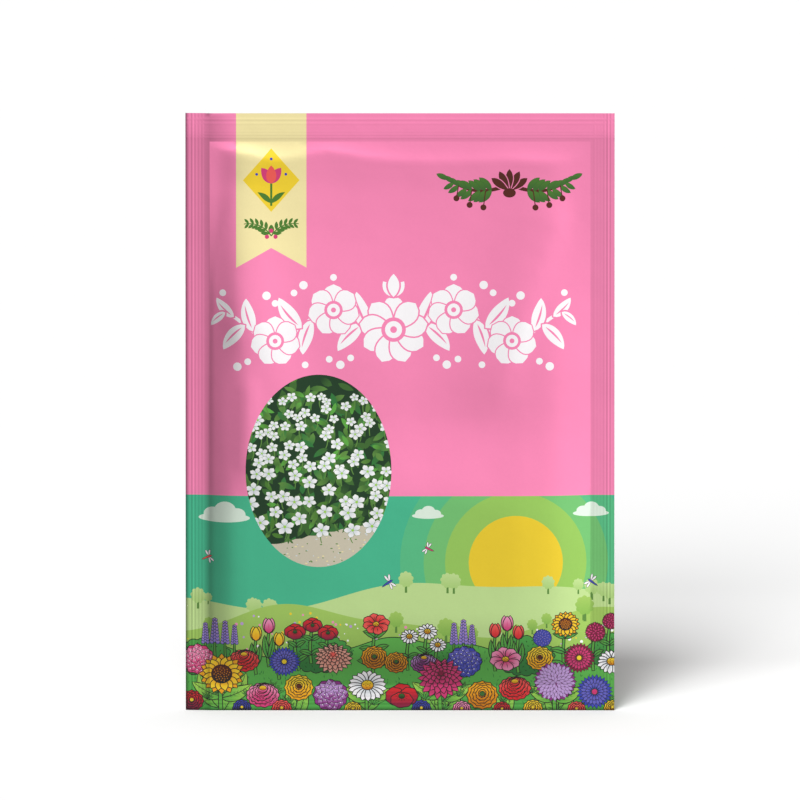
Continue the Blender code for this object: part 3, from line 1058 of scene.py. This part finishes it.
def back_artwork():
    """The back: the same fields, a blank ruled panel, and a quieter meadow."""
    art = Artwork(7)
    art.lay(box(-PAST_SIDE, PAST_FOOT, PAST_SIDE, PRINT_LINE), "sky")
    art.lay(box(-PAST_SIDE, PRINT_LINE, PAST_SIDE, PAST_TOP), "pink")
    for x, z, size in ((-33, 44.6, 0.8), (-6, 46.0, 0.6), (30, 43.6, 1.0)):
        cloud(art, x, z, size)
    hills(art)
    for x in np.linspace(-47, 47, 21):
        tuft(art, x, art.rng.uniform(-0.5, 5.5), art.rng.uniform(2.4, 3.6))
    for x in np.linspace(-45, 45, 13):
        kind = int(art.rng.integers(4))
        z = art.rng.uniform(6.0, 13.0)
        leafy_stem(art, x, z, 8.0, art.rng.uniform(-1, 1), 2, 3.6)
        if kind == 0:
            daisy(art, x, z, 2.7)
        elif kind == 1:
            cosmos(art, x, z, 2.8)
        elif kind == 2:
            poppy(art, x, z, 2.5)
        else:
            tulip(art, x, z, 3.8, "gold", "orange")
    art.lay(rounded(-36, 57, 36, 122, 4), "cream")
    art.lay(rounded(-34.6, 58.4, 34.6, 120.6, 3), "gold")
    art.lay(rounded(-34.2, 58.8, 34.2, 120.2, 2.8), "cream")
    for side in (-1, 1):
        vine = bow((side * 3.4, 113.4), (side * 22.0, 113.4), side * 1.2, 14)
        art.lay(ribbon(vine, 0.5, 0.7, 0.3), "sprig")
        for k, at in enumerate(vine[2:-1]):
            turn = (90 - side * 52) if k % 2 else (270 + side * 52)
            art.lay(placed(frond(2.6, 1.1, 0, 0.5), *at, turn), "sprig")
    folk_flower(art, 0, 113.4, 4.2, 8, "rose", "cream")
    for z in np.arange(66.0, 106.1, 5.0):
        art.lay(box(-28, z, 28, z + 0.22), "fern")
    return art


# ---------------------------------------------------------------- from artwork to film


def wound_round(outline, points):
    """Which points the outline winds round, by the turns it makes about each."""
    a, edge = outline, apart(outline)
    b = a + edge
    x, z = points[:, :1], points[:, 1:]
    left = edge[:, 0] * (z - a[:, 1]) - edge[:, 1] * (x - a[:, 0])
    up = (a[:, 1] <= z) & (b[:, 1] > z) & (left > 0)
    down = (a[:, 1] > z) & (b[:, 1] <= z) & (left < 0)
    return (up.sum(axis=1) - down.sum(axis=1)) != 0


def owners(places, art):
    """For each place, the number of the last shape that covers it."""
    order = np.argsort(places[:, 0])
    across = places[order, 0]
    up = places[order, 1]
    owner = np.full(len(places), -1)
    for number in range(len(art.outlines) - 1, -1, -1):
        outline = art.outlines[number]
        low, high = outline.min(axis=0), outline.max(axis=0)
        first, last = np.searchsorted(across, (low[0], high[0]))
        free = (up[first:last] > low[1]) & (up[first:last] < high[1]) & (owner[first:last] < 0)
        near = first + np.flatnonzero(free)
        owner[near[wound_round(outline, places[order[near]])]] = number
    found = np.empty_like(owner)
    found[order] = owner
    return np.maximum(found, 0)


def loop_edges(counts):
    """Pairs of point numbers that close each of several outlines laid end to end."""
    starts = np.cumsum(counts) - counts
    first = np.arange(sum(counts))
    after = first + 1
    after[starts + counts - 1] = starts
    return np.stack([first, after], axis=1)


def triangulated(points, edges):
    """Triangles over the points that keep every edge, inside the film's rectangle."""
    made = delaunay_2d_cdt(points.tolist(), edges.tolist(), [], 0, SNAP, False)
    flat = np.array([tuple(place) for place in made[0]])
    triangles = np.array(made[2])
    middles = flat[triangles].mean(axis=1)
    inside = (np.abs(middles[:, 0]) < HALF_WIDTH) & (middles[:, 1] > 0) & (middles[:, 1] < HEIGHT)
    flat = np.clip(flat, (-HALF_WIDTH, 0.0), (HALF_WIDTH, HEIGHT))
    used, triangles = np.unique(triangles[inside], return_inverse=True)
    flat, triangles = flat[used], triangles.reshape(-1, 3)
    a, b, c = (flat[triangles[:, k]] for k in range(3))
    area = (b - a)[:, 0] * (c - a)[:, 1] - (b - a)[:, 1] * (c - a)[:, 0]
    triangles[area < 0] = triangles[area < 0][:, ::-1]
    return flat, triangles[area != 0]


def edges_of(triangles):
    """The three edges of every triangle, in its own sense."""
    return np.concatenate([triangles[:, [0, 1]], triangles[:, [1, 2]], triangles[:, [2, 0]]])


def level_lines(side_places, up_places, short=0.0):
    """Straight lines across the film, as points and the pairs of them to join.

    They end short of the cut edges by the distance given.
    """
    end = HALF_WIDTH - short
    upright = [((x, short), (x, HEIGHT - short)) for x in side_places]
    level = [((-end, z), (end, z)) for z in up_places]
    points = np.array(upright + level).reshape(-1, 2)
    return points, np.arange(len(points)).reshape(-1, 2)


def rib_places(groups, weld):
    """Distances from the edge of LINES_PER_RIB lines to each rib, and of the weld's own edge."""
    found = [np.array([weld])]
    for first, pitch, shares in groups:
        steps = np.arange(LINES_PER_RIB * len(shares) + 1) * pitch / LINES_PER_RIB
        found.append(first - pitch / 2 + steps)
    return np.concatenate(found)


def rib_lines(side):
    """Lines along every rib and along the welds' inner edges, on the sheet of the side given."""
    left = rib_places(LEFT_RIBS, SIDE_WELD) - HALF_WIDTH
    right = HALF_WIDTH - rib_places(RIGHT_RIBS, SIDE_WELD)
    foot = rib_places(FOOT_RIBS, FOOT_WELD)
    top = HEIGHT - rib_places(TOP_RIBS, TOP_WELD)
    return level_lines(-side * np.concatenate([left, right]), np.concatenate([foot, top]))


def weld_lines():
    """Lines along the welds of the inner face, close together where the film bends."""
    side, foot, top = (
        np.concatenate([weld - np.array(INNER_OUT), INNER_IN])
        for weld in (SIDE_WELD, FOOT_WELD, TOP_WELD)
    )
    across = HALF_WIDTH - side
    up = np.concatenate([foot, HEIGHT - top])
    return level_lines(np.concatenate([-across, across]), up, INNER_SHORT)


def lattice(columns, rows):
    """Points over the pocket, closer together towards the welds, where the film turns."""
    u = np.sin(np.linspace(-np.pi / 2, np.pi / 2, columns + 1))[1:-1]
    v = np.sin(np.linspace(-np.pi / 2, np.pi / 2, rows + 1))[1:-1]
    middle = FOOT_WELD + POCKET_LENGTH / 2
    x, z = np.meshgrid(POCKET_HALF_WIDTH * u, middle + POCKET_LENGTH / 2 * v)
    return np.stack([x.ravel(), z.ravel()], axis=1)


def printed_plane(art, side):
    """The film laid flat: triangles whose edges follow the ribs and the artwork that shows.

    Everything is first triangulated at once and each triangle given its owner. Then only the
    edges where the look changes are kept, with the ribs and the lattice, and it is done again.
    The looks beside an edge differ where their number times the sum of their squares is more than
    the square of their sum.
    """
    rim = box(-HALF_WIDTH, 0.0, HALF_WIDTH, HEIGHT)
    outlines = [subdivided(one, PRINT_STEP) for one in (rim, *art.outlines)]
    counts = np.array([len(one) for one in outlines])
    flat, triangles = triangulated(np.concatenate(outlines), loop_edges(counts))
    owner = owners(flat[triangles].mean(axis=1), art)
    inks, deeps = np.array(art.inks), np.array(art.deeps)
    look = np.unique(inks, axis=0, return_inverse=True)[1].reshape(-1)
    shaded = (inks != deeps).any(axis=1)
    look = np.where(shaded, len(look) + np.arange(len(look)), look)[owner].astype(float)
    pairs, where, count = np.unique(
        np.sort(edges_of(triangles), axis=1), axis=0, return_inverse=True, return_counts=True
    )
    where = where.reshape(-1)
    total = np.bincount(where, weights=np.tile(look, 3))
    squares = np.bincount(where, weights=np.tile(look**2, 3))
    shown = pairs[(count == 1) | (count * squares - total**2 > 0.25)]
    rib_points, rib_edges = rib_lines(side)
    used, numbers = np.unique(shown, return_inverse=True)
    points = np.concatenate([flat[used], rib_points, lattice(LATTICE_COLUMNS, LATTICE_ROWS)])
    edges = np.concatenate([numbers.reshape(-1, 2), len(used) + rib_edges])
    flat, triangles = triangulated(points, edges)
    return flat, triangles, owners(flat[triangles].mean(axis=1), art)


def corner_inks(places, owner, art):
    """The ink at each corner: the owner's ink, faded towards its deep ink along its fade."""
    start, end = np.array(art.starts, float)[owner], np.array(art.ends, float)[owner]
    along = end - start
    share = ((places - start) * along).sum(axis=1) / (along**2).sum(axis=1)
    share = eased(share)[:, None]
    ink, deep = np.array(art.inks)[owner], np.array(art.deeps)[owner]
    return deep + (ink - deep) * share


def slopes(flat, side, gauge):
    """Normals of a sheet's face, turned to its own side: (-dD/dx, 1, -dD/dz) made unit."""
    x, z = flat.T
    slope_x = sheet_depth(x + SLOPE_STEP, z, side, gauge) - sheet_depth(x - SLOPE_STEP, z, side, gauge)
    slope_z = sheet_depth(x, z + SLOPE_STEP, side, gauge) - sheet_depth(x, z - SLOPE_STEP, side, gauge)
    normal = np.stack([-slope_x, np.full_like(x, 2 * SLOPE_STEP), -slope_z], axis=1)
    return normal / np.linalg.norm(normal, axis=1, keepdims=True)


def matched(places, among):
    """For each place, the number of the same place in the other list."""
    both = np.round(np.concatenate([places, among]), PLACE_DECIMALS)
    _, same = np.unique(both, axis=0, return_inverse=True)
    same = same.reshape(-1)
    number = np.full(same.max() + 1, -1)
    number[same[len(places) :]] = np.arange(len(among))
    return number[same[: len(places)]]


def bake_map(flat, inner_flat, faces, strip_start):
    """Where each corner lies on the square the finish is baked to.

    The printed face keeps its shape at the left, the inner face is squeezed into a band beside
    it, and the cut edge into a narrower one.
    """
    x, z = np.concatenate([flat, inner_flat]).T
    u, v = (x + HALF_WIDTH) / HEIGHT, z / HEIGHT
    inner = np.arange(len(x)) >= len(flat)
    u = np.where(inner, BAND_START + (x + HALF_WIDTH) / (2 * HALF_WIDTH) * BAND_WIDTH, u)
    places = np.stack([u, v], axis=1)[faces.ravel()] * (1 - 2 * BAKE_MARGIN) + BAKE_MARGIN
    edge = faces[strip_start:].ravel()
    upright = np.abs(x) > HALF_WIDTH - ON_EDGE
    along = np.where(upright, z, x + HALF_WIDTH)[edge] / HEIGHT
    along = BAKE_MARGIN + along * (1 - 2 * BAKE_MARGIN)
    across = np.where(inner[edge], EDGE_END, EDGE_START)
    places[3 * strip_start :] = np.stack([across, along], axis=1)
    return places


def film_sheet(name, side, art, finish):
    """One sheet of the packet as a closed skin.

    The printed face is y = side times sheet_depth over the printed plane, the inner face is the
    same without the gauge over a coarser plane with the same rim, and a strip joins them. side is
    -1 for the front and +1 for the back, whose plane is turned about to be seen from behind.
    """
    flat, triangles, owner = printed_plane(art, side)
    ends = edges_of(triangles)
    _, where, count = np.unique(
        np.sort(ends, axis=1), axis=0, return_inverse=True, return_counts=True
    )
    rim = ends[count[where.reshape(-1)] == 1]
    rim_points, rim_numbers = np.unique(rim, return_inverse=True)
    rim_numbers = rim_numbers.reshape(-1, 2)
    weld_points, weld_edges = weld_lines()
    inner_places = np.concatenate(
        [flat[rim_points], weld_points, lattice(INNER_COLUMNS, INNER_ROWS)]
    )
    inner_edges = np.concatenate([rim_numbers, len(rim_points) + weld_edges])
    inner_flat, inner_triangles = triangulated(inner_places, inner_edges)
    far = matched(flat[rim_points], inner_flat)[rim_numbers] + len(flat)
    strip = np.concatenate(
        [
            np.stack([rim[:, 1], rim[:, 0], far[:, 0]], axis=1),
            np.stack([rim[:, 1], far[:, 0], far[:, 1]], axis=1),
        ]
    )
    faces = np.concatenate([triangles, inner_triangles[:, ::-1] + len(flat), strip])

    x, z = np.concatenate([flat, inner_flat]).T
    depth = np.concatenate(
        [sheet_depth(*flat.T, side, GAUGE), sheet_depth(*inner_flat.T, side, 0.0)]
    )
    turned = np.array([-side, side, 1.0])
    points = np.stack([x, depth, z], axis=1) * turned * MM
    normals = np.concatenate([slopes(flat, side, GAUGE), -slopes(inner_flat, side, 0.0)]) * turned
    normals = normals[faces.ravel()]
    a, b, c = (points[strip[:, k]] for k in range(3))
    across = np.cross(b - a, c - a)
    across /= np.maximum(np.linalg.norm(across, axis=1, keepdims=True), TINY_AREA)
    strip_start = len(faces) - len(strip)
    normals[3 * strip_start :] = np.repeat(across, 3, axis=0)

    ink = np.empty((len(faces) * 3, 3))
    printed = len(triangles) * 3
    ink[:printed] = corner_inks(flat[triangles.ravel()], np.repeat(owner, 3), art)
    ink[printed:] = INKS["foil"]

    mesh = bpy.data.meshes.new(name)
    mesh.vertices.add(len(points))
    mesh.vertices.foreach_set("co", points.ravel())
    mesh.loops.add(faces.size)
    mesh.loops.foreach_set("vertex_index", faces.ravel().astype(np.int32))
    mesh.polygons.add(len(faces))
    mesh.polygons.foreach_set("loop_start", np.arange(0, faces.size, 3, dtype=np.int32))
    mesh.update(calc_edges=True)
    colours = mesh.color_attributes.new("ink", "FLOAT_COLOR", "CORNER")
    colours.data.foreach_set("color", np.column_stack([ink, np.ones(len(ink))]).ravel())
    places = bake_map(flat, inner_flat, faces, strip_start)
    mesh.uv_layers.new(name="OFBake").uv.foreach_set("vector", places.ravel())
    mesh.polygons.foreach_set("use_smooth", np.ones(len(faces), bool))
    mesh.normals_split_custom_set(normals.tolist())
    mesh.materials.append(finish)
    sheet = bpy.data.objects.new(name, mesh)
    bpy.context.scene.collection.objects.link(sheet)
    return sheet


# ---------------------------------------------------------------- materials


def film_grain_group():
    """Node group: what laminated film shows close up, from fine mottle to soft cockling.

    Takes Vector in metres. Gives Tone, an even grey near 1 to multiply the ink by, Sheen, a mask
    near 0.5 for the roughness, and Height in metres for the bump.
    """
    tree = bpy.data.node_groups.new("film_grain", "ShaderNodeTree")
    tree.interface.new_socket("Vector", in_out="INPUT", socket_type="NodeSocketVector")
    for name in ("Tone", "Sheen", "Height"):
        tree.interface.new_socket(name, in_out="OUTPUT", socket_type="NodeSocketFloat")
    entry = tree.nodes.new("NodeGroupInput")
    leave = tree.nodes.new("NodeGroupOutput")

    def noise(scale, detail, rough=0.5):
        made = tree.nodes.new("ShaderNodeTexNoise")
        made.inputs["Scale"].default_value = scale
        made.inputs["Detail"].default_value = detail
        made.inputs["Roughness"].default_value = rough
        tree.links.new(entry.outputs["Vector"], made.inputs["Vector"])
        return made.outputs["Fac"]

    def spread(value, low, high):
        made = tree.nodes.new("ShaderNodeMapRange")
        made.inputs["From Min"].default_value = 0.25
        made.inputs["From Max"].default_value = 0.75
        made.inputs["To Min"].default_value = low
        made.inputs["To Max"].default_value = high
        tree.links.new(value, made.inputs["Value"])
        return made.outputs["Result"]

    def total(first, second):
        made = tree.nodes.new("ShaderNodeMath")
        made.operation = "ADD"
        tree.links.new(first, made.inputs[0])
        tree.links.new(second, made.inputs[1])
        return made.outputs["Value"]

    mottle = noise(1800.0, 2.0)
    patches = noise(60.0, 3.0)
    cockle = noise(90.0, 2.0, 0.4)
    orange_peel = noise(900.0, 1.0)
    tree.links.new(
        total(spread(mottle, -0.012, 0.012), spread(patches, 0.985, 1.015)), leave.inputs["Tone"]
    )
    tree.links.new(total(spread(patches, 0.2, 0.6), spread(mottle, 0.0, 0.2)), leave.inputs["Sheen"])
    tree.links.new(
        total(spread(cockle, 0.0, 6.0e-5), spread(orange_peel, 0.0, 1.5e-6)), leave.inputs["Height"]
    )
    return tree


def printed_film(grain):
    """Soft-gloss laminate over the print, whose inks the mesh holds corner by corner."""
    made = bpy.data.materials.new("printed_film")
    made.use_nodes = True
    tree = made.node_tree
    shader = tree.nodes["Principled BSDF"]
    place = tree.nodes.new("ShaderNodeTexCoord")
    ink = tree.nodes.new("ShaderNodeAttribute")
    ink.attribute_name = "ink"
    film = tree.nodes.new("ShaderNodeGroup")
    film.node_tree = grain
    tree.links.new(place.outputs["Object"], film.inputs["Vector"])
    toned = tree.nodes.new("ShaderNodeMix")
    toned.data_type = "RGBA"
    toned.blend_type = "MULTIPLY"
    toned.inputs[0].default_value = 1.0
    tree.links.new(ink.outputs["Color"], toned.inputs[6])
    tree.links.new(film.outputs["Tone"], toned.inputs[7])
    tree.links.new(toned.outputs[2], shader.inputs["Base Color"])
    sheen = tree.nodes.new("ShaderNodeMapRange")
    sheen.inputs["To Min"].default_value = 0.34
    sheen.inputs["To Max"].default_value = 0.46
    tree.links.new(film.outputs["Sheen"], sheen.inputs["Value"])
    tree.links.new(sheen.outputs["Result"], shader.inputs["Roughness"])
    bump = tree.nodes.new("ShaderNodeBump")
    bump.inputs["Strength"].default_value = 1.0
    bump.inputs["Distance"].default_value = 1.0
    tree.links.new(film.outputs["Height"], bump.inputs["Height"])
    tree.links.new(bump.outputs["Normal"], shader.inputs["Normal"])
    shader.inputs["IOR"].default_value = 1.48
    shader.inputs["Coat Weight"].default_value = 0.25
    shader.inputs["Coat Roughness"].default_value = 0.28
    return made


def dry_seed():
    """Small dull brown seed packed together, for the solid inside the pocket."""
    made = bpy.data.materials.new("dry_seed")
    made.use_nodes = True
    tree = made.node_tree
    shader = tree.nodes["Principled BSDF"]
    place = tree.nodes.new("ShaderNodeTexCoord")
    grains = tree.nodes.new("ShaderNodeTexVoronoi")
    grains.inputs["Scale"].default_value = 1300.0
    tree.links.new(place.outputs["Object"], grains.inputs["Vector"])
    browns = tree.nodes.new("ShaderNodeValToRGB")
    browns.color_ramp.elements[0].color = (0.06, 0.03, 0.016, 1.0)
    browns.color_ramp.elements[1].color = (0.22, 0.13, 0.07, 1.0)
    tree.links.new(grains.outputs["Color"], browns.inputs["Fac"])
    tree.links.new(browns.outputs["Color"], shader.inputs["Base Color"])
    bump = tree.nodes.new("ShaderNodeBump")
    bump.inputs["Strength"].default_value = 0.6
    bump.inputs["Distance"].default_value = 0.0003
    bump.invert = True
    tree.links.new(grains.outputs["Distance"], bump.inputs["Height"])
    tree.links.new(bump.outputs["Normal"], shader.inputs["Normal"])
    shader.inputs["Roughness"].default_value = 0.85
    return made


# ---------------------------------------------------------------- the packet


def make_packet():
    """The two printed sheets, which stand for the two solids that they dress."""
    finish = printed_film(film_grain_group())
    front = film_sheet("front_film_skin", -1, front_artwork(), finish)
    back = film_sheet("back_film_skin", 1, back_artwork(), finish)
    for sheet, node, slot in (
        (front, "front_film", "front_print"),
        (back, "back_film", "back_print"),
    ):
        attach(sheet, "root")
        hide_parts(node)
    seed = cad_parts["seed_fill"]
    for slot in seed.material_slots:
        slot.material = dry_seed()
    return front, back


# ---------------------------------------------------------------- camera, light and floor


def aim(obj, place, at):
    """Puts an object at a place, looking at another."""
    obj.location = place
    obj.rotation_euler = (Vector(at) - Vector(place)).to_track_quat("-Z", "Y").to_euler()


def make_camera():
    """A long lens far off, so that the packet's edges stay upright and square."""
    scale = 2 * HALF_WIDTH * MM / PACKET_WIDTH_PIXELS
    tilt = math.radians(ELEVATION)
    middle = HEIGHT * MM / 2 + PACKET_MIDDLE_PIXELS * scale / math.cos(tilt)
    data = bpy.data.cameras.new("camera")
    data.sensor_width = SENSOR_WIDTH
    data.lens = data.sensor_width * CAMERA_AWAY / (scale * FRAME_PIXELS)
    data.clip_end = CLIP_END
    camera = bpy.data.objects.new("camera", data)
    bpy.context.scene.collection.objects.link(camera)
    place = (0.0, -CAMERA_AWAY * math.cos(tilt), middle + CAMERA_AWAY * math.sin(tilt))
    aim(camera, place, (0.0, 0.0, middle))
    bpy.context.scene.camera = camera


def seen_or_not(tree, seen, unseen, output):
    """Mixes two shaders: seen for what looks straight at it, unseen for the light it gives."""
    path = tree.nodes.new("ShaderNodeLightPath")
    mix = tree.nodes.new("ShaderNodeMixShader")
    tree.links.new(path.outputs["Is Camera Ray"], mix.inputs["Fac"])
    tree.links.new(unseen, mix.inputs[1])
    tree.links.new(seen, mix.inputs[2])
    tree.links.new(mix.outputs["Shader"], output)


def make_floor():
    """A wide white sweep that throws only a little of its light back up."""
    data = bpy.data.meshes.new("floor")
    r = FLOOR_REACH
    data.from_pydata([(-r, -r, 0), (r, -r, 0), (r, r, 0), (-r, r, 0)], [], [(0, 1, 2, 3)])
    made = bpy.data.materials.new("white_floor")
    made.use_nodes = True
    tree = made.node_tree
    white = tree.nodes["Principled BSDF"]
    white.inputs["Base Color"].default_value = (FLOOR_WHITE, FLOOR_WHITE, FLOOR_WHITE, 1.0)
    white.inputs["Roughness"].default_value = 0.95
    white.inputs["Specular IOR Level"].default_value = 0.0
    dull = tree.nodes.new("ShaderNodeBsdfDiffuse")
    dull.inputs["Color"].default_value = (FLOOR_BOUNCE, FLOOR_BOUNCE, FLOOR_BOUNCE, 1.0)
    surface = tree.nodes["Material Output"].inputs["Surface"]
    seen_or_not(tree, white.outputs["BSDF"], dull.outputs["BSDF"], surface)
    data.materials.append(made)
    floor = bpy.data.objects.new("floor", data)
    bpy.context.scene.collection.objects.link(floor)
    return floor


def make_world():
    """A white surround that gives a soft even fill."""
    world = bpy.data.worlds.new("white_room")
    world.use_nodes = True
    bpy.context.scene.world = world
    tree = world.node_tree
    fill = tree.nodes["Background"]
    fill.inputs["Color"].default_value = (1.0, 1.0, 1.0, 1.0)
    fill.inputs["Strength"].default_value = ROOM_FILL
    white = tree.nodes.new("ShaderNodeBackground")
    white.inputs["Color"].default_value = (1.0, 1.0, 1.0, 1.0)
    surface = tree.nodes["World Output"].inputs["Surface"]
    seen_or_not(tree, white.outputs[0], fill.outputs[0], surface)


def lit_only(name, objects):
    """A collection of what a lamp lights."""
    group = bpy.data.collections.new(name)
    for obj in objects:
        group.objects.link(obj)
    return group


def make_lamp(name, towards, power, width, lights):
    """A far soft lamp that shines from the direction given on what it is set to light."""
    data = bpy.data.lights.new(name, "SUN")
    data.energy = power
    data.angle = math.radians(width)
    lamp = bpy.data.objects.new(name, data)
    bpy.context.scene.collection.objects.link(lamp)
    aim(lamp, towards, (0, 0, 0))
    lamp.light_linking.receiver_collection = lights


bpy.context.scene.view_settings.view_transform = "Standard"
make_camera()
make_world()
floor = make_floor()
packet = make_packet()
lit_floor = lit_only("lit_floor", [floor])
lit_packet = lit_only("lit_packet", packet)
for name, towards, power, width in FLOOR_LAMPS:
    make_lamp(name, towards, power, width, lit_floor)
for name, towards, power, width in PACKET_LAMPS:
    make_lamp(name, towards, power, width, lit_packet)
